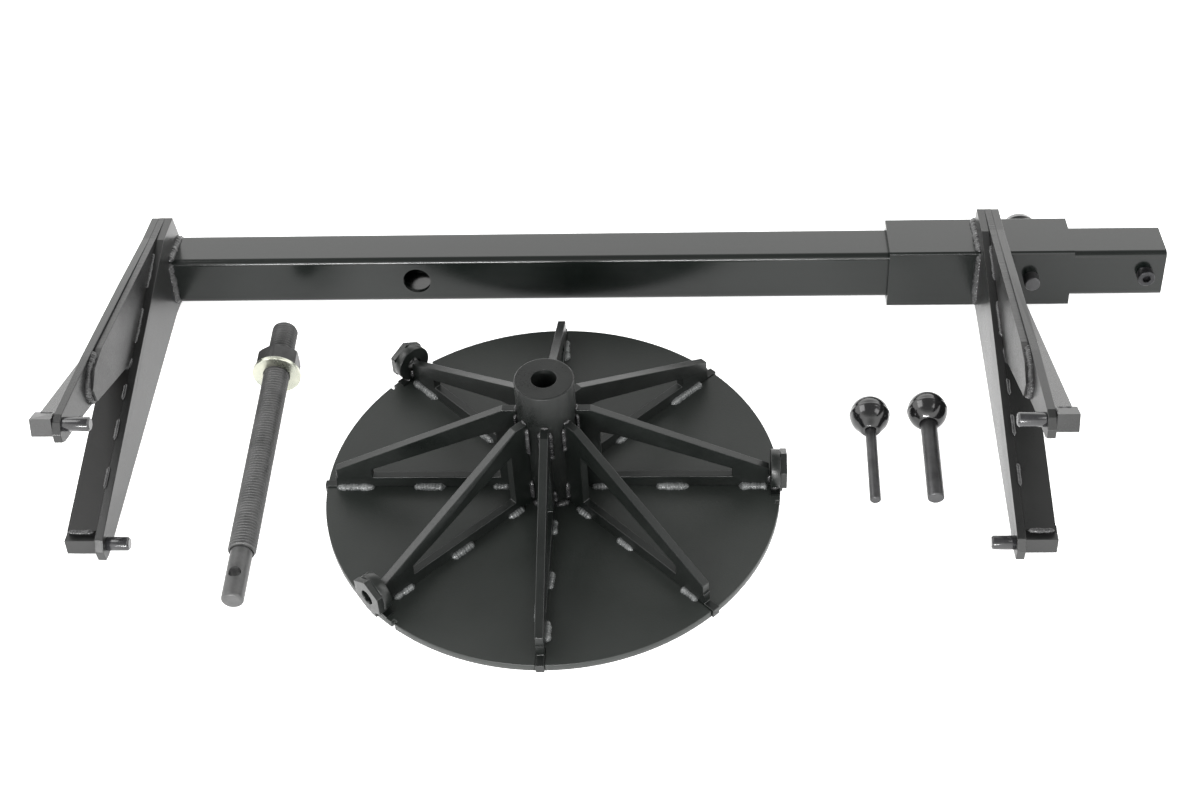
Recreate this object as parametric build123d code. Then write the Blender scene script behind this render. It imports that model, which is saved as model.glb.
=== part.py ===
from build123d import *
import os
import math

os.makedirs("parts", exist_ok=True)

# Beam-type fork puller kit: crossbeam with one fixed and one sliding fork,
# ribbed pressure disc, threaded rod with nut and washer, two ball-knob pins.
# All lengths in millimetres. +X along the beam, +Z up, floor at z = 0.

# ---- driving dimensions ----
TILT = 6.6            # beam and forks lean back on the floor by this angle (deg)
BEAM_Z = 28.59        # height of the tube axis above the floor
OX = 44.55            # layout shift so that the kit is centred on the origin
OY = 163.93

TUBE = 40.0           # square tube outside
TUBE_T = 4.0
TUBE_R = 4.5
TUBE_X0 = -422.0      # left end, against the fixed fork
TUBE_X1 = 364.9
ROD_HOLE_R = 11.0
ROD_HOLE_X = -224.1

SLV = 50.0            # sliding sleeve, square outside
SLV_T = 4.5
SLV_R = 2.0
SLV_X0 = 150.1
SLV_X1 = 292.6
LOCK_X = 261.0        # lock pin axis
LOCK_Z = 1.0
SLOT_X0, SLOT_X1 = 229.0, 282.5   # adjustment slot in the tube under the sleeve
STOP_X = 350.0        # stop screw near the free end

WEB_R = 219.8         # inner face of the right fork web
T_WEB = 6.0
T_GUS = 5.0
BLOCK = 13.0
LOW_PIN = (-274.5, -51.5)   # gripping pin axes, (y, z) in the tube's frame
UP_PIN = (-268.0, 52.7)
PIN_R = 5.0
SPIGOT_R = 3.5        # gripping pins are stepped down where they pass through the web
LOW_OUT, UP_OUT = 16.5, 19.0

DISC_X, DISC_Y = -106.3, -218.2
DISC_R = 165.5
DISC_T = 6.0
HUB_R = 21.0
HUB_BORE = 9.0
HUB_H = 112.0
RIB_T = 6.0

ROD_R = 10.0
NOSE_R = 8.0
CROSS_R = 4.5
NUT_AF = 30.0
NUT_T = 15.5
WASHER_R = 18.5
WASHER_T = 3.0
RUN = 0.06            # running clearance, radial

BALL_R = 15.0
THIN_R = 4.0
THICK_R = 6.0

TUBE_FRAME = Location((OX, OY, BEAM_Z)) * Rot(-TILT, 0, 0)


def put(shape, name):
    shape.label = name
    export_step(shape, "parts/" + name + ".step")
    return shape


def yz(pts, x0, x1):
    """Flat plate with an outline in the YZ plane, from x0 to x1."""
    lo, hi = min(x0, x1), max(x0, x1)
    face = make_face(Polyline(*pts, close=True))
    return Plane.YZ.offset(lo) * extrude(face, hi - lo)


def bar_x(x0, x1, y, z, r):
    """Round bar along X."""
    return Location(((x0 + x1) / 2, y, z)) * Rot(0, 90, 0) * Cylinder(r, abs(x1 - x0))


def bar_y(y0, y1, x, z, r):
    return Location((x, (y0 + y1) / 2, z)) * Rot(90, 0, 0) * Cylinder(r, abs(y1 - y0))


def square_tube(x0, x1, side, wall, rad):
    rin = max(rad - wall, 0.6)
    outer = RectangleRounded(side, side, rad)
    inner = RectangleRounded(side - 2 * wall, side - 2 * wall, rin)
    return Plane.YZ.offset(x0) * extrude(outer - inner, x1 - x0)


def slot_y(xa, xb, z, r, half):
    """Round-ended slot cut along Y through both walls."""
    body = Location(((xa + xb) / 2, 0, z)) * Box(xb - xa, 2 * half, 2 * r)
    return body + bar_y(-half, half, xa, z, r) + bar_y(-half, half, xb, z, r)


# ---- crossbeam ----
tube = square_tube(TUBE_X0, TUBE_X1, TUBE, TUBE_T, TUBE_R)
tube -= bar_y(-30, 30, ROD_HOLE_X, 0, ROD_HOLE_R)
tube -= slot_y(SLOT_X0, SLOT_X1, LOCK_Z, THICK_R + 0.5, 30)
tube -= bar_y(-30, 0, STOP_X, 0.8, 4.0)
put(TUBE_FRAME * tube, "beam_tube")

# ---- sliding sleeve ----
sleeve = square_tube(SLV_X0, SLV_X1, SLV, SLV_T, SLV_R)
sleeve -= bar_y(-40, 40, LOCK_X, LOCK_Z, THICK_R + 0.07)
put(TUBE_FRAME * sleeve, "slide_sleeve")

# ---- fork outlines in the tube's own frame, (y, z) ----
LOW_WEB = [(12, 42), (-20, 41.5), (-280.5, -42.4), (-285, -50.5), (-283, -59.8),
           (-276, -60.7), (-26, -26), (24, -26), (24, 8)]
GUSSET = [(12, 42), (-20, 43), (-182, 54), (-203, 51.5), (-216, 42), (-213, 29.5),
          (-130, 3.5), (-110, -13), (-75, -26), (24, -26), (24, 8)]
UP_WEB = [(12, 42), (-20, 43), (-91, 49.3), (-196, 57), (-266, 59.8), (-272, 58), (-277, 50),
          (-277, 43.5), (-271.5, 40.2), (-231, 30.9), (-204, 23.6), (-130, 3.5), (-110, -13), (-75, -26), (24, -26), (24, 8)]


def band(p, q, depth, side):
    """Parallelogram of the given depth below (side -1) or above (+1) the line p-q."""
    dx, dy = q[0] - p[0], q[1] - p[1]
    n = math.hypot(dx, dy)
    nx, ny = -dy / n, dx / n
    if ny * side < 0:
        nx, ny = -nx, -ny
    return [p, q, (q[0] + nx * depth, q[1] + ny * depth), (p[0] + nx * depth, p[1] + ny * depth)]


LOW_TOP_A, LOW_TOP_B = (-135.5, 4.33), (-273.5, -40.1)
UP_TOP_A, UP_TOP_B = (-31.5, 1.13), (-260.3, 55.6)
LOW_LEG_B, UP_LEG_B = (-262, -36.4), (-252.0, 53.62)


def fork(side, face):
    """All pieces of one fork. side is -1 for the left fork, +1 for the right."""
    def x(d):
        return face + side * d
    a, b, c = T_WEB, T_WEB + T_GUS, T_WEB * 2 + T_GUS
    w = {}
    low = yz(LOW_WEB, x(0), x(a))
    up = yz(UP_WEB, x(b), x(c))
    # through holes for the gripping pins
    low -= bar_x(x(-1), x(a + 1), *LOW_PIN, SPIGOT_R)
    up -= bar_x(x(b - 1), x(c + 1), *UP_PIN, SPIGOT_R)
    w["lower_web"] = low
    w["gusset"] = yz(GUSSET, x(a), x(b))
    w["upper_web"] = up
    # angle irons: flange across, leg against the web
    w["lower_angle"] = (yz(band(LOW_TOP_A, LOW_TOP_B, 4.0, -1), x(a), x(27))
                        + yz(band(LOW_TOP_A, LOW_LEG_B, 17.0, -1), x(a), x(a + 4)))
    w["upper_angle"] = (yz(band(UP_TOP_A, UP_TOP_B, 4.0, -1), x(c), x(29.5))
                        + yz(band(UP_TOP_A, UP_LEG_B, 17.0, -1), x(c), x(c + 4)))
    # square ends: the lower one is set level with the beam, the upper one follows its arm
    py, pz = LOW_PIN
    blk = yz([(py - 5, pz - 5), (py - 5, pz + 7), (py + 1.8, pz + 7.35), (py + 7.5, pz + 9.2), (py + 7.5, pz - 5)], x(a), x(28.5))
    blk -= bar_x(x(a) - side, x(a + 12.0), py, pz, SPIGOT_R)
    w["lower_block"] = blk - w["lower_angle"]
    blk = Location(((x(c) + x(32.0)) / 2, *UP_PIN)) * Rot(-15.2, 0, 0) * Box(32.0 - c, BLOCK, BLOCK)
    blk -= bar_x(x(c) - side, x(c + 12.0), *UP_PIN, SPIGOT_R)
    w["upper_block"] = blk - w["upper_angle"]
    for nm, pin, d0, d1, out in (("lower_pin", LOW_PIN, 0, a + 12.0, LOW_OUT), ("upper_pin", UP_PIN, b, c + 12.0, UP_OUT)):
        rod = bar_x(x(d0 - out), x(d0), *pin, PIN_R)
        edge = rod.edges().filter_by(GeomType.CIRCLE).sort_by(Axis.X)[-1 if side < 0 else 0]
        w[nm] = chamfer(edge, 1.2) + bar_x(x(d0), x(d1), *pin, SPIGOT_R)
    return w


def weld_ring(xa, side, half, leg, sides):
    """Triangular fillet beads round a square tube where it meets a plate at xa."""
    out = None
    hi = xa + side * leg
    tri_top = make_face(Polyline((xa, half), (hi, half), (xa, half + leg), close=True))
    for s in sides:
        bead = Plane.XZ.offset(-half) * extrude(tri_top, 2 * half)
        bead = Rot({"top": 0, "back": -90, "front": 90, "under": 180}[s], 0, 0) * bead
        out = bead if out is None else out + bead
    return out


for side, face, tag in ((-1, TUBE_X0, "left"), (1, WEB_R, "right")):
    pieces = fork(side, face)
    if side > 0:
        # the right fork's plates straddle the sleeve: they are notched to fit its outside
        cut = Box(200, SLV, SLV)
        cut = Location((face, 0, 0)) * cut
        for nm in ("lower_web", "gusset", "upper_web"):
            pieces[nm] = pieces[nm] - cut
    for nm, shape in pieces.items():
        put(TUBE_FRAME * shape, tag + "_" + nm)

# weld fillets: tube to left fork, sleeve to both faces of the right plate pack
PACK = 2 * T_WEB + T_GUS
core = Plane.YZ.offset(TUBE_X0 - 60) * extrude(RectangleRounded(TUBE, TUBE, TUBE_R), 120)
lw = weld_ring(TUBE_X0, 1, TUBE / 2 - 0.4, 4.5, ("top", "front", "under", "back")) - core
put(TUBE_FRAME * lw, "left_weld")
core = Plane.YZ.offset(WEB_R - 60) * extrude(RectangleRounded(SLV, SLV, SLV_R), 140)
rw = (weld_ring(WEB_R, -1, SLV / 2 - 0.3, 5.0, ("top", "front"))
      + weld_ring(WEB_R + PACK, 1, SLV / 2 - 0.3, 5.0, ("top", "front"))) - core
put(TUBE_FRAME * rw, "right_weld")

# ---- lock pin (thick ball-knob pin in the sleeve) ----
lock_len0 = -34.5
ball_y = 42.5
shaft = bar_y(lock_len0, ball_y - 2.0, LOCK_X, LOCK_Z, THICK_R)
e = shaft.edges().filter_by(GeomType.CIRCLE).sort_by(Axis.Y)[0]
shaft = chamfer(e, 0.8)
ball = Location((LOCK_X, ball_y, LOCK_Z)) * Sphere(BALL_R)
put(TUBE_FRAME * shaft, "lock_pin_shaft")
put(TUBE_FRAME * (ball - bar_y(-60, ball_y - 2.0, LOCK_X, LOCK_Z, THICK_R)), "lock_pin_ball")

# ---- stop screw: socket head cap screw ----
sy = -TUBE / 2
head = bar_y(sy - 8.0, sy - 0.05, STOP_X, 0.8, 6.5)
head = fillet(head.edges().filter_by(GeomType.CIRCLE).sort_by(Axis.Y)[0], 0.8)
screw = head + bar_y(sy - 0.05, sy + 14.0, STOP_X, 0.8, 4.0 - RUN)
hexa = Plane.XZ.offset(-(sy - 8.0 + 4.2)) * (Location((STOP_X, 0.8)) * extrude(RegularPolygon(6.0 / math.sqrt(3), 6), 6.0))
screw = screw - hexa
put(TUBE_FRAME * screw, "stop_screw")

# ---- pressure disc ----
D = Location((DISC_X + OX, DISC_Y + OY, 0))
END_R = 157.0         # ribs stop here; their tabs run on into the rim slots
TAB_R = DISC_R + 1.5
disc = Location((0, 0, DISC_T / 2)) * Cylinder(DISC_R, DISC_T)
disc -= Location((0, 0, DISC_T / 2)) * Cylinder(HUB_R - 0.0, DISC_T)
LUGS = (0, 135, 225)
for k in range(8):
    ang = 45 * k
    cutter = Location(((END_R - 6 + TAB_R + 5) / 2, 0, DISC_T / 2)) * Box(TAB_R + 5 - END_R + 6, RIB_T, DISC_T + 2)
    disc -= Rot(0, 0, ang) * cutter
for ang in LUGS:
    # small saw-cut notches either side of each lug
    for s in (-1, 1):
        nt = Rot(0, 0, ang + s * 6.6) * (Location((DISC_R, 0, DISC_T / 2)) * Box(6, 3.0, DISC_T + 2))
        disc -= nt
put(D * disc, "disc_plate")

hub = Location((0, 0, HUB_H / 2)) * Cylinder(HUB_R, HUB_H)
hub = chamfer(hub.edges().filter_by(GeomType.CIRCLE).sort_by(Axis.Z)[-1], 0.7)
hub -= Location((0, 0, HUB_H / 2)) * Cylinder(HUB_BORE, HUB_H)
put(D * hub, "disc_hub")

RIB = [(HUB_R - 0.0, DISC_T), (HUB_R - 0.0, 84), (31, 84), (END_R, 24), (END_R, 16.5),
       (END_R + 1.0, 16.5), (END_R + 1.0, DISC_T + 1.2), (TAB_R, DISC_T + 1.2), (TAB_R, 0.0),
       (END_R - 6, 0.0), (END_R - 6, DISC_T)]
CUT = [(37, 16), (37, 62), (49, 58.5), (130.5, 24), (130.5, 16)]
rib_face = make_face(Polyline(*RIB, close=True)) - make_face(Polyline(*CUT, close=True))
# ribs start on the hub's round flank, so each is trimmed by the hub
hub_full = Location((0, 0, HUB_H / 2)) * Cylinder(HUB_R, HUB_H)
for k in range(8):
    ang = 45 * k
    face = make_face(Polyline(*[(HUB_R - 3 if p[0] == HUB_R else p[0], p[1]) for p in RIB], close=True)) - make_face(Polyline(*CUT, close=True))
    rib = Plane.XZ.offset(-RIB_T / 2) * extrude(face, RIB_T)
    rib = rib - hub_full
    put(D * Rot(0, 0, ang) * rib, "rib_%03d" % ang)

# rim lugs: round collar, hexagonal nut plate outside it, foot plate at the rim
LUG_Z = DISC_T + 1.2 + 14.0
collars, hexes, feet = [], [], []
for ang in LUGS:
    M = D * Rot(0, 0, ang)
    col = bar_x(END_R + 1.0, END_R + 8.0, 0, LUG_Z, 14.0) - bar_x(END_R, END_R + 9.0, 0, LUG_Z, 5.5)
    collars.append(M * col)
    hx = Plane.YZ.offset(END_R + 8.0) * (Location((0, LUG_Z)) * (Rot(0, 0, 30) * extrude(RegularPolygon(26 / math.sqrt(3), 6), 4.5)))
    hx = hx - bar_x(END_R + 7.0, END_R + 14.0, 0, LUG_Z, 5.5)
    hx = hx - Location((END_R + 10, 0, (DISC_T + 1.2) / 2)) * Box(30, 60, DISC_T + 1.2)
    hexes.append(M * hx)
    for s in (-1, 1):
        ft = Location((END_R + 4.5, s * (RIB_T / 2 + 5.0), DISC_T + 0.6)) * Box(7.0, 10.0, 1.2)
        feet.append(M * ft)
put(Compound(children=collars), "lug_collars")
put(Compound(children=hexes), "lug_hexes")
put(Compound(children=feet), "lug_feet")

# ---- threaded rod lying on the floor, nut and washer near its far end ----
# local frame: rod axis along +X from the plain end to the nose end
AX0 = (-324.8, -66.0)
AX1 = (-322.8, -331.0)
run = math.dist(AX0, AX1)
Z_W, Z_N = WASHER_R, NOSE_R
s_w = 48.0            # washer centre, measured along the rod from the plain end
pitch = math.asin((Z_W - Z_N) / (run - s_w))
heading = math.degrees(math.atan2(AX1[1] - AX0[1], AX1[0] - AX0[0]))
z0 = Z_W * 1.0 + s_w * math.sin(pitch) + 0.06
ROD_LEN = run / math.cos(pitch)
RF = Location((AX0[0] + OX, AX0[1] + OY, z0)) * Rot(0, 0, heading) * Rot(0, math.degrees(pitch), 0)


def bar_s(s0, s1, r):
    return Location(((s0 + s1) / 2, 0, 0)) * Rot(0, 90, 0) * Cylinder(r, s1 - s0)


THREAD_END = ROD_LEN - 43.0
rod = bar_s(0, THREAD_END, ROD_R)
rod = chamfer(rod.edges().filter_by(GeomType.CIRCLE), 1.5)
nose = bar_s(THREAD_END - 1, ROD_LEN, NOSE_R)
nose = fillet(nose.edges().filter_by(GeomType.CIRCLE).sort_by(Axis.X)[-1], 2.5)
rod = rod + nose
rod -= Location((ROD_LEN - 20.5, 0, 0)) * Cylinder(CROSS_R, 40)
put(RF * rod, "threaded_rod")

wsh = bar_s(s_w - WASHER_T / 2, s_w + WASHER_T / 2, WASHER_R)
wsh = fillet(wsh.edges().filter_by(GeomType.CIRCLE), 0.4)
wsh -= bar_s(s_w - 5, s_w + 5, ROD_R + 0.45)
put(RF * wsh, "rod_washer")

n0 = s_w - WASHER_T / 2 - 0.05 - NUT_T
nut = Plane.YZ.offset(n0) * extrude(RegularPolygon(NUT_AF / math.sqrt(3), 6, rotation=30), NUT_T)
blank = bar_s(n0, n0 + NUT_T, NUT_AF / math.sqrt(3) + 0.02)
blank = chamfer(blank.edges().filter_by(GeomType.CIRCLE), 1.3)
nut = nut & blank
nut -= bar_s(n0 - 1, n0 + NUT_T + 1, ROD_R + RUN)
put(RF * nut, "rod_nut")


# ---- loose ball-knob pins lying on the floor ----
def knob_pin(bx, by, tx, ty, r, name):
    ln = math.dist((bx, by), (tx, ty))
    drop = math.asin((BALL_R - r) / (ln + 2.0))
    head_deg = math.degrees(math.atan2(ty - by, tx - bx))
    F = Location((bx + OX, by + OY, BALL_R)) * Rot(0, 0, head_deg) * Rot(0, math.degrees(drop), 0)
    L = ln / math.cos(drop)
    sh = Location(((BALL_R - 7 + L) / 2, 0, 0)) * Rot(0, 90, 0) * Cylinder(r, L - BALL_R + 7)
    sh = chamfer(sh.edges().filter_by(GeomType.CIRCLE).sort_by(Axis.X)[-1], 0.8)
    bl = Sphere(BALL_R) - Location(((BALL_R - 7 + 60) / 2, 0, 0)) * Rot(0, 90, 0) * Cylinder(r, 60 - BALL_R + 7)
    put(F * sh, name + "_shaft")
    put(F * bl, name + "_ball")


knob_pin(127.1, -158.9, 126.8, -234.5, THIN_R, "thin_pin")
knob_pin(170.0, -154.5, 169.7, -234.5, THICK_R, "thick_pin")
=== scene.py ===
import bpy
import bmesh
import math
import random
from mathutils import Matrix, Vector


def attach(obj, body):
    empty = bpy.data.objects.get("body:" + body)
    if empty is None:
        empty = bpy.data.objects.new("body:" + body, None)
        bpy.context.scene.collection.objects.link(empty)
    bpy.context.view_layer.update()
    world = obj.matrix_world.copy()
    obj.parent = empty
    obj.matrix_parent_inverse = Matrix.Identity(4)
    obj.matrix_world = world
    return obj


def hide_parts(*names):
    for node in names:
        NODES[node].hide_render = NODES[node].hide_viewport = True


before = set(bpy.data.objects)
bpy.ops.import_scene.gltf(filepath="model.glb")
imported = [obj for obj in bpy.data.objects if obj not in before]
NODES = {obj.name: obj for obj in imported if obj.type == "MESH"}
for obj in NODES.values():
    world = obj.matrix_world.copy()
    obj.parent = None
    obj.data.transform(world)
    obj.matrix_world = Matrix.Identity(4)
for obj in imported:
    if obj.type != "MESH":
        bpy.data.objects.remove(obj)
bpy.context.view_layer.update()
rng = random.Random(11)
scene = bpy.context.scene
scene.view_settings.view_transform = "Standard"

# ------------------------------------------------------------------ layout
MM = 0.001
OX, OY, BEAM_Z, TILT = 44.55, 163.93, 28.59, math.radians(6.6)
CT, ST = math.cos(TILT), math.sin(TILT)


def W(x, y, z):
    """Point of the beam's own frame (mm) in the row frame (m)."""
    return Vector((x + OX, y * CT + z * ST + OY, BEAM_Z - y * ST + z * CT)) * MM


def Wd(x, y, z):
    return Vector((x, y * CT + z * ST, -y * ST + z * CT)).normalized()


DISC = Vector((-106.3 + OX, -218.2 + OY, 0)) * MM
AX0, AX1 = (-324.8, -66.0), (-322.8, -331.0)
RUN = math.dist(AX0, AX1)
PITCH = math.asin(10.5 / (RUN - 48.0))
HEAD = math.atan2(AX1[1] - AX0[1], AX1[0] - AX0[0])
PACK = 17.0
ROD_LEN = RUN / math.cos(PITCH)
THREAD_END = ROD_LEN - 43.0
ROD_M = (Matrix.Translation(Vector((AX0[0] + OX, AX0[1] + OY, 18.5 + 48 * math.sin(PITCH) + 0.06)) * MM)
         @ Matrix.Rotation(HEAD, 4, "Z") @ Matrix.Rotation(PITCH, 4, "Y"))


# --------------------------------------------------------------- materials
def node(nt, kind, **inputs):
    n = nt.nodes.new(kind)
    for k, v in inputs.items():
        if k in n.inputs:
            n.inputs[k].default_value = v
        else:
            setattr(n, k, v)
    return n


def ramp(nt, fac, stops):
    r = nt.nodes.new("ShaderNodeValToRGB")
    e = r.color_ramp.elements
    while len(e) < len(stops):
        e.new(0.5)
    for el, (p, c) in zip(e, stops):
        el.position = p
        el.color = (c, c, c, 1) if not isinstance(c, tuple) else (*c, 1)
    nt.links.new(fac, r.inputs[0])
    return r.outputs[0]


def surface(name, base, light, rough, metallic=0.0, fine=900.0, coarse=18.0, bump=0.15, streak=None,
            speck=0.35, specular=0.5, coat=0.0, coat_rough=0.1, rough_var=0.12):
    """Layered finish: broad tone drift, fine grain, dust specks, and a bump from the grain."""
    m = bpy.data.materials.new(name)
    m.use_nodes = True
    nt = m.node_tree
    nt.nodes.clear()
    out = nt.nodes.new("ShaderNodeOutputMaterial")
    b = nt.nodes.new("ShaderNodeBsdfPrincipled")
    nt.links.new(b.outputs[0], out.inputs[0])
    b.inputs["Metallic"].default_value = metallic
    b.inputs["Specular IOR Level"].default_value = specular
    b.inputs["Coat Weight"].default_value = coat
    b.inputs["Coat Roughness"].default_value = coat_rough
    tc = nt.nodes.new("ShaderNodeTexCoord")
    vec = tc.outputs["Object"]
    if streak:
        mp = nt.nodes.new("ShaderNodeMapping")
        mp.inputs["Scale"].default_value = streak
        nt.links.new(vec, mp.inputs[0])
        grain_vec = mp.outputs[0]
    else:
        grain_vec = vec
    big = node(nt, "ShaderNodeTexNoise", Scale=coarse, Detail=4.0, Roughness=0.6)
    small = node(nt, "ShaderNodeTexNoise", Scale=fine, Detail=3.0, Roughness=0.55)
    dust = node(nt, "ShaderNodeTexVoronoi", Scale=420.0)
    nt.links.new(vec, big.inputs["Vector"])
    nt.links.new(grain_vec, small.inputs["Vector"])
    nt.links.new(vec, dust.inputs["Vector"])
    tone = ramp(nt, big.outputs[0], [(0.32, 0.0), (0.72, 1.0)])
    mix = nt.nodes.new("ShaderNodeMix")
    mix.data_type = "RGBA"
    mix.inputs["A"].default_value = (*base, 1)
    mix.inputs["B"].default_value = (*light, 1)
    nt.links.new(tone, mix.inputs["Factor"])
    spots = ramp(nt, dust.outputs["Distance"], [(0.0, 1.0), (0.10, 0.0)])
    amt = node(nt, "ShaderNodeMath", operation="MULTIPLY")
    amt.inputs[1].default_value = speck
    nt.links.new(spots, amt.inputs[0])
    gate = ramp(nt, big.outputs[0], [(0.5, 0.0), (0.62, 1.0)])
    amt2 = node(nt, "ShaderNodeMath", operation="MULTIPLY")
    nt.links.new(amt.outputs[0], amt2.inputs[0])
    nt.links.new(gate, amt2.inputs[1])
    mix2 = nt.nodes.new("ShaderNodeMix")
    mix2.data_type = "RGBA"
    mix2.inputs["B"].default_value = tuple(min(1, c * 2.2 + 0.03) for c in light) + (1,)
    nt.links.new(mix.outputs["Result"], mix2.inputs["A"])
    nt.links.new(amt2.outputs[0], mix2.inputs["Factor"])
    nt.links.new(mix2.outputs["Result"], b.inputs["Base Color"])
    rr = nt.nodes.new("ShaderNodeMapRange")
    rr.inputs["From Min"].default_value = 0.3
    rr.inputs["From Max"].default_value = 0.7
    rr.inputs["To Min"].default_value = max(0.03, rough - rough_var)
    rr.inputs["To Max"].default_value = min(1.0, rough + rough_var)
    add = node(nt, "ShaderNodeMath", operation="ADD")
    half = node(nt, "ShaderNodeMath", operation="MULTIPLY")
    half.inputs[1].default_value = 0.5
    nt.links.new(big.outputs[0], add.inputs[0])
    nt.links.new(small.outputs[0], add.inputs[1])
    nt.links.new(add.outputs[0], half.inputs[0])
    nt.links.new(half.outputs[0], rr.inputs["Value"])
    nt.links.new(rr.outputs[0], b.inputs["Roughness"])
    bp = nt.nodes.new("ShaderNodeBump")
    bp.inputs["Strength"].default_value = bump
    bp.inputs["Distance"].default_value = 0.0004
    nt.links.new(small.outputs[0], bp.inputs["Height"])
    nt.links.new(bp.outputs[0], b.inputs["Normal"])
    return m


PAINT = surface("satin_black_paint", (0.0062, 0.0064, 0.0064), (0.0115, 0.0118, 0.0115), 0.30, fine=1300, coarse=9, bump=0.10, speck=0.25, rough_var=0.06)
# painted shade: a darker, less specular copy of the satin black paint, standing in for the darker reflection the left
# lower angle shows
PAINT_PAINTED_SHADE = surface("shaded_arm_paint", (0.0045, 0.0045, 0.0044), (0.0085, 0.0083, 0.008), 0.36, fine=1300, coarse=9, bump=0.10, speck=0.25, rough_var=0.06, specular=0.32)
# painted light: a lighter, more specular copy of the satin black paint, standing in for the brighter light both upper
# angles catch
PAINT_PAINTED_LIGHT = surface("upper_arm_painted_light", (0.011, 0.0108, 0.0108), (0.021, 0.0203, 0.0203), 0.27, fine=1300, coarse=9, bump=0.10, speck=0.25, rough_var=0.06, specular=0.62)
TUBE = surface("tube_paint", (0.0018, 0.0031, 0.0025), (0.0046, 0.0062, 0.0054), 0.19, fine=1300, coarse=6, bump=0.04, speck=0.3, rough_var=0.05, specular=0.43)
PLATE = surface("plate_paint", (0.0066, 0.0088, 0.0074), (0.0142, 0.0170, 0.0150), 0.42, fine=800, coarse=7, bump=0.16, speck=0.55, rough_var=0.09)
EDGE = surface("cut_edge_paint", (0.007, 0.007, 0.007), (0.02, 0.02, 0.02), 0.36, fine=500, coarse=30, bump=0.55, streak=(0.15, 1.6, 1.6), speck=0.3)
RIBS = surface("rib_paint", (0.0024, 0.0034, 0.0029), (0.0066, 0.0080, 0.0072), 0.34, fine=900, coarse=22, bump=0.14, speck=0.4, rough_var=0.08, specular=0.42)
HUBM = surface("hub_paint", (0.0026, 0.0034, 0.0030), (0.0080, 0.0090, 0.0084), 0.33, fine=700, coarse=26, bump=0.14, streak=(1, 1, 5), speck=0.35, specular=0.34)
WELD = surface("weld_paint", (0.012, 0.012, 0.0125), (0.045, 0.045, 0.046), 0.24, fine=1600, coarse=90, bump=0.5, speck=0.3, rough_var=0.12)
# painted highlight: the disc's rib beads get a lighter grey base than the WELD paint, standing in for the sheen they
# catch
BEAD_PAINTED_HIGHLIGHT = surface("bead_painted_highlight", (0.040, 0.043, 0.043), (0.135, 0.140, 0.140), 0.26, fine=1500, coarse=120, bump=0.6, speck=0.3, rough_var=0.12, specular=0.7)
PINM = surface("pin_gloss", (0.009, 0.009, 0.010), (0.02, 0.02, 0.022), 0.20, fine=900, coarse=60, bump=0.10, speck=0.2, coat=0.3)
ROD = surface("phosphate_steel", (0.042, 0.042, 0.042), (0.085, 0.085, 0.085), 0.42, metallic=0.35, fine=1400, coarse=60, bump=0.25, speck=0.5)
NUT = surface("dark_nut", (0.024, 0.024, 0.024), (0.055, 0.055, 0.056), 0.38, metallic=0.5, fine=1200, coarse=90, bump=0.2, speck=0.3)
ZINC = surface("zinc_plate", (0.44, 0.46, 0.40), (0.60, 0.60, 0.50), 0.30, metallic=1.0, fine=500, coarse=60, bump=0.04, speck=0.0)
SHAFT = surface("turned_steel", (0.030, 0.030, 0.031), (0.062, 0.062, 0.064), 0.38, metallic=0.6, fine=900, coarse=60, bump=0.2, streak=(0.4, 5, 0.4), speck=0.4)
OXIDE = surface("black_oxide", (0.012, 0.012, 0.013), (0.035, 0.035, 0.038), 0.33, metallic=0.6, fine=1200, coarse=150, bump=0.2, speck=0.3)
KNOB = surface("knob_gloss", (0.003, 0.003, 0.0032), (0.0055, 0.0055, 0.006), 0.15, fine=300, coarse=40, bump=0.06, speck=0.25, coat=0.25, coat_rough=0.08, rough_var=0.05)


def finish_node(name, mat, bevel=0.0006, segs=2):
    o = NODES[name]
    o.data.materials.clear()
    o.data.materials.append(mat)
    if bevel:
        w = o.modifiers.new("weld", "WELD")
        w.merge_threshold = 2e-6
        b = o.modifiers.new("bevel", "BEVEL")
        b.width, b.segments, b.limit_method, b.angle_limit = bevel, segs, "ANGLE", math.radians(28)
        b.harden_normals = True
        b.use_clamp_overlap = True
    return o


def piece(name, verts, faces, mat, body, smooth=True):
    me = bpy.data.meshes.new(name)
    me.from_pydata([tuple(v) for v in verts], [], faces)
    me.update()
    if smooth:
        for p in me.polygons:
            p.use_smooth = True
    o = bpy.data.objects.new(name, me)
    scene.collection.objects.link(o)
    me.materials.append(mat)
    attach(o, body)
    return o


# CAD nodes keep their shapes and get finishes and rounded edges
for n in NODES:
    if n.endswith("_pin"):
        finish_node(n, PINM, 0.0003)
    elif n in ("beam_tube", "slide_sleeve"):
        finish_node(n, TUBE, 0.0)
    # the left lower angle gets the painted-shade copy of the black paint
    elif n == "left_lower_angle":
        finish_node(n, PAINT_PAINTED_SHADE, 0.0007)
    # both upper angles get the painted-light copy of the black paint
    elif n.endswith("_upper_angle"):
        finish_node(n, PAINT_PAINTED_LIGHT, 0.0007)
    elif n.startswith("rib_"):
        finish_node(n, RIBS, 0.0006)
    elif n == "disc_plate":
        finish_node(n, PLATE, 0.0006)
    elif n == "disc_hub":
        finish_node(n, HUBM, 0.0005)
    elif n.startswith("lug_"):
        finish_node(n, RIBS, 0.0005 if n != "lug_feet" else 0.0002)
    elif n.endswith("_gusset"):
        finish_node(n, EDGE, 0.0004)
    elif n == "stop_screw":
        finish_node(n, OXIDE, 0.0003)
    elif n == "rod_washer":
        finish_node(n, ZINC, 0.0)
    elif n == "rod_nut":
        finish_node(n, NUT, 0.0003)
    elif n.endswith("_shaft"):
        finish_node(n, SHAFT, 0.0003)
    elif n.endswith("_ball"):
        finish_node(n, KNOB, 0.0)
    elif n == "threaded_rod":
        finish_node(n, ROD, 0.0)
    elif n.endswith("_weld"):
        finish_node(n, WELD, 0.0)
    else:
        finish_node(n, PAINT, 0.0007)

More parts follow.
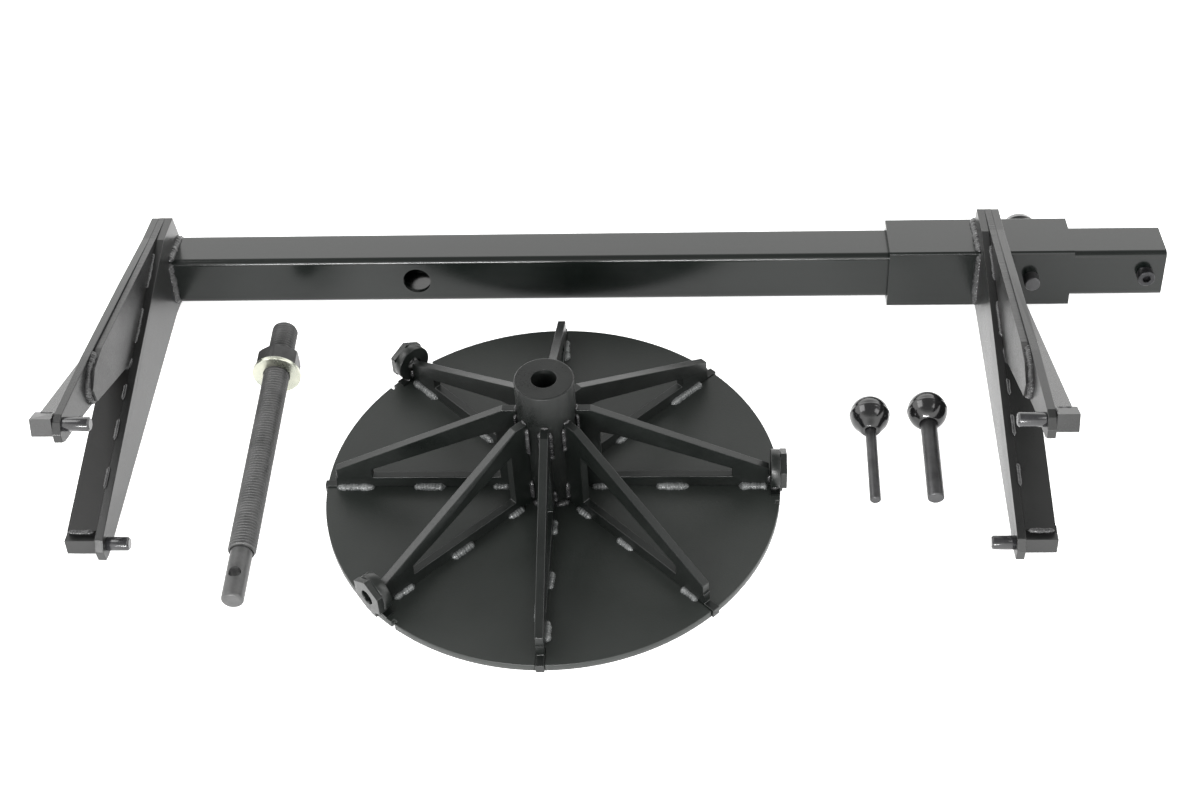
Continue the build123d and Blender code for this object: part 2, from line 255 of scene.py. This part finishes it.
# --------------------------------------------------------- rod with thread
def thread_mesh(name, s0, s1, pitch, r_out, depth, M, mat, body, seg=36, step=5):
    """Helical thread: a crest-flat-root profile swept along the rod, flattened into its ends."""
    turns = (s1 - s0) / pitch
    n = int(turns * seg)
    rows = step
    vs, fs = [], []
    prof = [(0.0, 0.0), (0.36, 1.0), (0.50, 1.0), (0.86, 0.0), (1.0, 0.0)]

    def depth_at(s, ang):
        ph = ((s - s0) / pitch - ang / (2 * math.pi)) % 1.0
        for (p0, d0), (p1, d1) in zip(prof, prof[1:]):
            if p0 <= ph <= p1:
                return d0 + (d1 - d0) * (ph - p0) / max(p1 - p0, 1e-9)
        return 0.0

    ns = int((s1 - s0) / pitch * 8)
    for i in range(ns + 1):
        s = s0 + (s1 - s0) * i / ns
        for j in range(seg):
            ang = 2 * math.pi * j / seg
            edge = min(1.0, (s - s0) / 1.2, (s1 - s) / 1.2)
            rr = r_out - depth * depth_at(s, ang) * max(edge, 0) - (1.2 * (1 - edge) if edge < 1 else 0)
            vs.append(M @ (Vector((s, rr * math.cos(ang), rr * math.sin(ang))) * MM))
    for i in range(ns):
        for j in range(seg):
            a_, b_ = i * seg + j, i * seg + (j + 1) % seg
            fs.append((a_, b_, b_ + seg, a_ + seg))
    for i, flip in ((0, True), (ns, False)):
        c = len(vs)
        s = s0 if i == 0 else s1
        vs.append(M @ (Vector((s, 0, 0)) * MM))
        for j in range(seg):
            q = (i * seg + j, i * seg + (j + 1) % seg, c)
            fs.append(q[::-1] if not flip else q)
    o = piece(name, vs, [f[::-1] for f in fs], mat, body)
    return o


def lathe(name, prof, M, mat, body, seg=64, caps=True):
    """Turned shape about the local X axis; prof is a list of (s, r) in mm."""
    vs, fs = [], []
    for s, rr in prof:
        for j in range(seg):
            an = 2 * math.pi * j / seg
            vs.append(M @ (Vector((s, rr * math.cos(an), rr * math.sin(an))) * MM))
    for i in range(len(prof) - 1):
        for j in range(seg):
            a_, b_ = i * seg + j, i * seg + (j + 1) % seg
            fs.append((a_, a_ + seg, b_ + seg, b_))
    if caps:
        fs.append(tuple(range(seg)))
        fs.append(tuple(reversed(range((len(prof) - 1) * seg, len(prof) * seg))))
    return piece(name, vs, fs, mat, body)


thread = thread_mesh("rod_thread", 0.0, THREAD_END, 2.5, 10.0, 1.25, ROD_M, ROD, "rod")


def rod_nose():
    """The turned nose with its cross hole, cut from the CAD rod past the shoulder."""
    src = NODES["threaded_rod"]
    bm = bmesh.new()
    bm.from_mesh(src.data)
    bm.transform(src.matrix_world)
    bmesh.ops.remove_doubles(bm, verts=bm.verts, dist=2e-6)
    inv = ROD_M.inverted()
    xs = {v: (inv @ v.co).x / MM for v in bm.verts}
    gone = [f for f in bm.faces if min(xs[v] for v in f.verts) < THREAD_END - 0.03 or max(xs[v] for v in f.verts) < THREAD_END + 0.03]
    bmesh.ops.delete(bm, geom=gone, context="FACES")
    me_ = bpy.data.meshes.new("rod_nose")
    bm.to_mesh(me_)
    bm.free()
    for q in me_.polygons:
        q.use_smooth = True
    me_.set_sharp_from_angle(angle=math.radians(30))
    o = bpy.data.objects.new("rod_nose", me_)
    scene.collection.objects.link(o)
    me_.materials.append(ROD)
    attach(o, "rod")
    return o


nose = rod_nose()
print("NOSE FACES", len(nose.data.polygons))
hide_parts("threaded_rod")
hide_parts("threaded_rod")

# ------------------------------------------------------------- ball knobs
def knob(name, centre, out_dir, r_shaft, neck, mat, body, replaced):
    """Moulded ball: parting ridge round its waist and a neck where the shaft enters."""
    q = Vector(out_dir).normalized()
    M = Matrix.Translation(Vector(centre)) @ q.to_track_quat("X", "Z").to_matrix().to_4x4()
    R = 15.0
    prof = []
    for i in range(1, 60):
        t = math.pi * i / 60
        s, rr = -(R - 0.32) * math.cos(t), (R - 0.32) * math.sin(t)
        if neck and s > 10.6:
            break
        if not neck and rr < r_shaft + 1.6 and s > 0:
            break
        if abs(s) < 0.9:
            rr = R - 0.02
        prof.append((s, rr))
    if neck:
        prof += [(12.6, 8.6), (14.2, 7.3), (14.9, 6.6), (15.0, 5.6), (14.6, r_shaft + 0.05)]
    else:
        s_end = prof[-1][0]
        prof += [(s_end + 0.25, r_shaft + 1.2), (s_end + 0.2, r_shaft + 0.7), (s_end - 0.7, r_shaft + 0.05)]
    o = lathe(name, prof, M, mat, body, seg=72)
    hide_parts(replaced)
    return o


def pin_dir(bx, by, tx, ty, r):
    ln = math.dist((bx, by), (tx, ty))
    drop = math.asin((15.0 - r) / (ln + 2.0))
    h = math.atan2(ty - by, tx - bx)
    return Vector((math.cos(h) * math.cos(drop), math.sin(h) * math.cos(drop), -math.sin(drop)))


knob("thin_pin_knob", Vector((127.1 + OX, -158.9 + OY, 15.0)) * MM, pin_dir(127.1, -158.9, 126.8, -234.5, 4.0), 4.0, True, KNOB, "thin_pin", "thin_pin_ball")
knob("thick_pin_knob", Vector((170.0 + OX, -154.5 + OY, 15.0)) * MM, pin_dir(170.0, -154.5, 169.7, -234.5, 6.0), 6.0, False, KNOB, "thick_pin", "thick_pin_ball")
knob("lock_pin_knob", W(261.0, 42.5, 1.0), Wd(0, -1, 0), 6.0, False, KNOB, "lock_pin", "lock_pin_ball")


# ------------------------------------------------------------ weld beads
def weld(name, pts, normal, width, height, body, ripple=2.2, mat=None, seed=0, close=False):
    """Rippled weld bead along a path (m), standing height (mm) off the corner along normal."""
    rg = random.Random(seed + len(name) * 7)
    path = [Vector(p) for p in pts]
    out = []
    for p, q in zip(path, path[1:]):
        k = max(2, int((q - p).length / (0.45 * MM)))
        for i in range(k):
            out.append(p.lerp(q, i / k))
    out.append(path[-1])
    n0 = Vector(normal).normalized()
    total = len(out)
    vs, fs = [], []
    seg = 9
    wob = [rg.uniform(-1, 1) for _ in range(total // 6 + 4)]
    for i, p in enumerate(out):
        t = (out[min(i + 1, total - 1)] - out[max(i - 1, 0)]).normalized()
        side = t.cross(n0).normalized()
        n = side.cross(t).normalized()
        x = i * 0.45
        sc = (x % ripple) / ripple
        bulge = 0.80 + 0.20 * math.sqrt(max(0.0, 1 - (sc - 0.35) ** 2 / 0.45))
        w0, w1 = wob[i // 6], wob[i // 6 + 1]
        f = (i % 6) / 6
        rnd = (w0 * (1 - f) + w1 * f)
        ends = min(1.0, math.sqrt(min(i, total - 1 - i) * 0.45 / 2.2 + 0.02))
        ww = width * (0.92 + 0.13 * rnd) * bulge * ends
        hh = height * (0.92 + 0.16 * rnd) * bulge * ends
        for j in range(seg):
            an = math.pi * j / (seg - 1)
            vs.append(p + side * (math.cos(an) * ww / 2 * MM) + n * ((math.sin(an) * hh - 0.25) * MM) + t * (math.sin(an) * 0.5 * MM))
    for i in range(total - 1):
        for j in range(seg - 1):
            a_ = i * seg + j
            fs.append((a_, a_ + 1, a_ + 1 + seg, a_ + seg))
        a_ = i * seg
        fs.append((a_, a_ + seg, a_ + 2 * seg - 1, a_ + seg - 1))
    fs.append(tuple(range(seg - 1, -1, -1)))
    fs.append(tuple(range((total - 1) * seg, total * seg)))
    return piece(name, vs, fs, mat or WELD, body)


count = [0]


def wname(tag):
    count[0] += 1
    return f"{tag}_bead_{count[0]:02d}"


# disc: stitches where the ribs meet the plate and the hub
def rib_bead(ang, r0, r1, side, width=5.0, height=3.4):
    c, s = math.cos(math.radians(ang)), math.sin(math.radians(ang))
    off = side * 3.2 * MM

    def P(rr):
        return DISC + Vector((c * rr * MM - s * off, s * rr * MM + c * off, 6.0 * MM))
    nrm = Vector((-s * side, c * side, 1.1))
    n = max(2, int(abs(r1 - r0) / 6))
    rg = random.Random(int(ang * 13 + r0))
    pts = [P(r0 + (r1 - r0) * i / n) + Vector((0, 0, rg.uniform(-0.2, 0.2) * MM)) for i in range(n + 1)]
    # the rib stitches use the lighter grey painted-highlight bead colour
    return weld(wname("rib"), pts, nrm, width, height, "disc", seed=int(ang + r0), mat=BEAD_PAINTED_HIGHLIGHT)


for ang, side, spans in (
        (0, -1, ((28, 42), (75, 99), (135, 156))), (180, 1, ((30, 43), (78, 101), (130, 158))),
        (0, 1, ((50, 72), (112, 134))), (180, -1, ((52, 74), (108, 130))),
        (45, -1, ((118, 150), (60, 78))), (45, 1, ((34, 50), (96, 120))),
        (135, 1, ((128, 156), (62, 84))), (135, -1, ((36, 52), (100, 122))),
        (90, 1, ((40, 60), (104, 126))), (90, -1, ((66, 86), (130, 152))),
        (225, 1, ((30, 45), (78, 98), (132, 150))), (225, -1, ((52, 70), (108, 128))),
        (315, -1, ((30, 45), (72, 88), (136, 152))), (315, 1, ((50, 66), (106, 128))),
        (270, 1, ((36, 50), (84, 100), (128, 146))), (270, -1, ((60, 76), (112, 130)))):
    for a0, a1 in spans:
        rib_bead(ang, a0, a1, side, width=6.6 if a1 - a0 < 20 else 7.6, height=3.8 if a1 - a0 < 20 else 4.3)

for k in range(8):
    # up the hub in the corner beside each rib, and a tack over each rib's top
    for side in (-1, 1):
        an = math.radians(45 * k) + side * 0.162
        c, s = math.cos(an), math.sin(an)
        rg = random.Random(k * 5 + side)
        for z0, z1 in ((9, 24 + rg.uniform(-4, 6)), (58 + rg.uniform(-6, 4), 80)):
            pts = [DISC + Vector((c * 21.2, s * 21.2, z)) * MM for z in (z0, (z0 + z1) / 2, z1)]
            weld(wname("hub"), pts, (c * 1.0 - s * side * -0.6, s * 1.0 + c * side * -0.6, 0), 5.0, 2.8, "disc", seed=k)
    an = math.radians(45 * k)
    c, s = math.cos(an), math.sin(an)
    weld(wname("top"), [DISC + Vector((c * 21.3 - s * t, s * 21.3 + c * t, 84.3)) * MM for t in (-2.6, 0, 2.6)], (c * 0.7, s * 0.7, 0.7), 3.4, 2.0, "disc", seed=k + 9)
    if k % 2 == 1 or k in (2, 6):
        pts = [DISC + Vector((21.5 * math.cos(q), 21.5 * math.sin(q), 6.2)) * MM for q in [math.radians(45 * k + 22.5 + d) for d in (-15, -8, 0, 8, 15)]]
        weld(wname("base"), pts, (math.cos(math.radians(45 * k + 22.5)), math.sin(math.radians(45 * k + 22.5)), 1), 6.0, 3.6, "disc", seed=k)

# rippled beads that close the tube and sleeve onto their forks, over the fillets' own footprint
def ring(tag, node_name, xa, side, half, leg, sides, body):
    turn = {"top": ((half, half), (-half, half), (0, 1)), "front": ((-half, half), (-half, -half), (-1, 0)),
            "under": ((-half, -half), (half, -half), (0, -1)), "back": ((half, -half), (half, half), (1, 0))}
    w = leg * 1.9
    for sd in sides:
        (y0, z0), (y1, z1), (ny, nz) = turn[sd]
        rg = random.Random(int(abs(xa)) + len(sd))
        pts = []
        for i in range(13):
            f = 0.03 + 0.94 * i / 12
            pts.append(W(xa + side * rg.uniform(-0.1, 0.35), y0 + (y1 - y0) * f, z0 + (z1 - z0) * f))
        o = weld(wname(tag), pts, Wd(side, ny, nz), w, leg * 0.80, body, ripple=2.6, seed=int(half) + len(sd))
        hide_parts(node_name)


ring("left", "left_weld", -422.0, 1, 20.0, 4.4, ("top", "front", "under", "back"), "beam")
ring("right", "right_weld", 219.8, -1, 25.0, 4.6, ("top", "front"), "sleeve")
ring("right", "right_weld", 219.8 + PACK, 1, 25.0, 4.6, ("top", "front"), "sleeve")

# lugs: beads round the collars' feet and where the rib end meets them
for ang in (0, 135, 225):
    a_ = math.radians(ang)
    c, s = math.cos(a_), math.sin(a_)
    for side in (-1, 1):
        pts = [DISC + Vector((c * rr - s * side * 6.5, s * rr + c * side * 6.5, 8.2)) * MM for rr in (158, 161, 164.5)]
        weld(wname("lug"), pts, (-s * side, c * side, 1), 4.5, 2.2, "disc", seed=ang)
        pts = [DISC + Vector((c * 157.6 - s * side * 3.4, s * 157.6 + c * side * 3.4, z)) * MM for z in (9.5, 13, 17)]
        weld(wname("lug"), pts, (-c, -s, 0), 3.6, 2.4, "disc", seed=ang + 3)

# forks: stitches along the lower web's top edge against the gusset, gusset end bead, corner beads
for side, face, tag, body in ((-1, -422.0, "left", "beam"), (1, 219.8, "right", "sleeve")):
    def X(dd):
        return face + side * dd

    def beadp(pts, n, w, h, sd):
        return weld(wname(tag), [W(*p) for p in pts], Wd(*n), w, h, body, seed=sd)
    # along the V's root, between the lower web's top edge and the gusset's face
    for y0, y1 in ((-33, -66), (-84, -116)):
        z = [41.5 - 0.322 * (-20 - y) for y in (y0, y1)]
        beadp([(X(6.0), y0, z[0] + 0.0), (X(6.0), y1, z[1] + 0.0)], (-side, 0, 0.8), 4.4, 2.6, 3)
    # end of the gusset on the upper web
    beadp([(X(11.0), -186, 53.0), (X(11.0), -203, 51.8), (X(11.0), -213, 45.5), (X(11.0), -216.5, 38), (X(11.0), -214, 31), (X(11.0), -206, 27.5)],
          (-side, -0.55, 0.05), 7.0, 4.2, 4)
    # crotch of the two arms
    beadp([(X(7.5), -120, 4.2), (X(8.0), -133, 3.6), (X(9.5), -141, 4.6)], (-side * 0.3, -0.7, 0.7), 6.5, 4.2, 5)
    # tacks where the lower flange joins the web
    for y0, y1 in ((-152, -166), (-182, -200), (-222, -240)):
        z = [3.2 - 0.322 * (-139 - y) + 0.3 for y in (y0, y1)]
        beadp([(X(6.3), y0, z[0]), (X(6.3), y1, z[1])], (side * 0.4, 0, 1), 3.4, 1.5, 6)
    # across the lower flange's end on the block, and the upper one's
    beadp([(X(8), -273.6, -40.9), (X(17), -273.9, -41.0), (X(26), -273.6, -40.9)], (0, -0.5, 1), 4.0, 1.8, 7)
    beadp([(X(17.5), -261.2, 56.9), (X(23), -261.5, 57.0), (X(29), -261.2, 56.9)], (0, -0.3, 1), 3.2, 1.3, 8)
    # web against block
    beadp([(X(17.3), -262, 58.6), (X(17.3), -268, 59.6)], (side, 0, 0.8), 2.6, 1.2, 9)

# ------------------------------------------------------------ floor, light
def emission_floor():
    m = bpy.data.materials.new("floor_white")
    m.use_nodes = True
    nt = m.node_tree
    b = nt.nodes["Principled BSDF"]
    b.inputs["Roughness"].default_value = 0.9
    b.inputs["Specular IOR Level"].default_value = 0.1
    tc = nt.nodes.new("ShaderNodeTexCoord")
    nz = node(nt, "ShaderNodeTexNoise", Scale=3.0, Detail=2.0)
    nt.links.new(tc.outputs["Object"], nz.inputs["Vector"])
    c = ramp(nt, nz.outputs[0], [(0.3, 0.93), (0.7, 0.95)])
    nt.links.new(c, b.inputs["Base Color"])
    b.inputs["Emission Color"].default_value = (1, 1, 1, 1)
    b.inputs["Emission Strength"].default_value = 0.75
    return m


me = bpy.data.meshes.new("floor")
me.from_pydata([(-14, -14, 0), (14, -14, 0), (14, 14, 0), (-14, 14, 0)], [], [(0, 1, 2, 3)])
floor = bpy.data.objects.new("floor", me)
scene.collection.objects.link(floor)
me.materials.append(emission_floor())

world = bpy.data.worlds.new("studio")
scene.world = world
world.use_nodes = True
wn = world.node_tree
bg = wn.nodes["Background"]
tc = wn.nodes.new("ShaderNodeTexCoord")
sep = wn.nodes.new("ShaderNodeSeparateXYZ")
wn.links.new(tc.outputs["Generated"], sep.inputs[0])
sky = wn.nodes.new("ShaderNodeValToRGB")
for i, (p, c) in enumerate(((0.0, 0.95), (0.47, 1.0), (0.66, 0.42), (0.77, 0.26), (1.0, 0.21))):
    e = sky.color_ramp.elements[i] if i < 2 else sky.color_ramp.elements.new(p)
    e.position, e.color = p, (c, c, c * 0.99, 1)
wn.links.new(sep.outputs["Z"], sky.inputs[0])
wn.links.new(sky.outputs[0], bg.inputs["Color"])
bg.inputs["Strength"].default_value = 2.4


def softbox(name, loc, target, size, power):
    l = bpy.data.lights.new(name, "AREA")
    l.shape, l.size, l.size_y, l.energy = "RECTANGLE", size[0], size[1], power
    o = bpy.data.objects.new(name, l)
    scene.collection.objects.link(o)
    o.location = loc
    o.rotation_euler = (Vector(target) - Vector(loc)).to_track_quat("-Z", "Y").to_euler()
    return o


softbox("low_strip", (-0.65, -3.3, 0.80), (-0.15, 0.15, 0.04), (1.9, 0.17), 105)
softbox("key_left", (-1.6, 0.2, 1.9), (0, 0, 0), (1.2, 1.2), 22)
softbox("key_right", (1.7, -0.5, 1.8), (0, 0, 0), (1.0, 1.2), 14)

# ------------------------------------------------------------------ camera
cam = bpy.data.cameras.new("camera")
cam.sensor_width = 36.0
cam.lens = 1845.29 / 1200 * 36.0
co = bpy.data.objects.new("camera", cam)
scene.collection.objects.link(co)
th, yaw, roll = math.radians(44.380), math.radians(4.258), math.radians(3.299)
Z = Matrix.Rotation(yaw, 3, "Z")
a = Z @ Vector((0, math.cos(th), -math.sin(th)))
d = Z @ Vector((0, -math.sin(th), -math.cos(th)))
r = Z @ Vector((1, 0, 0))
r2 = math.cos(roll) * r + math.sin(roll) * d
d2 = -math.sin(roll) * r + math.cos(roll) * d
pos = Vector((0 + OX, -1134.289 + OY, 989.854)) * MM
co.matrix_world = Matrix(((r2.x, -d2.x, -a.x, pos.x), (r2.y, -d2.y, -a.y, pos.y), (r2.z, -d2.z, -a.z, pos.z), (0, 0, 0, 1)))
cam.clip_start, cam.clip_end = 0.05, 60
scene.camera = co
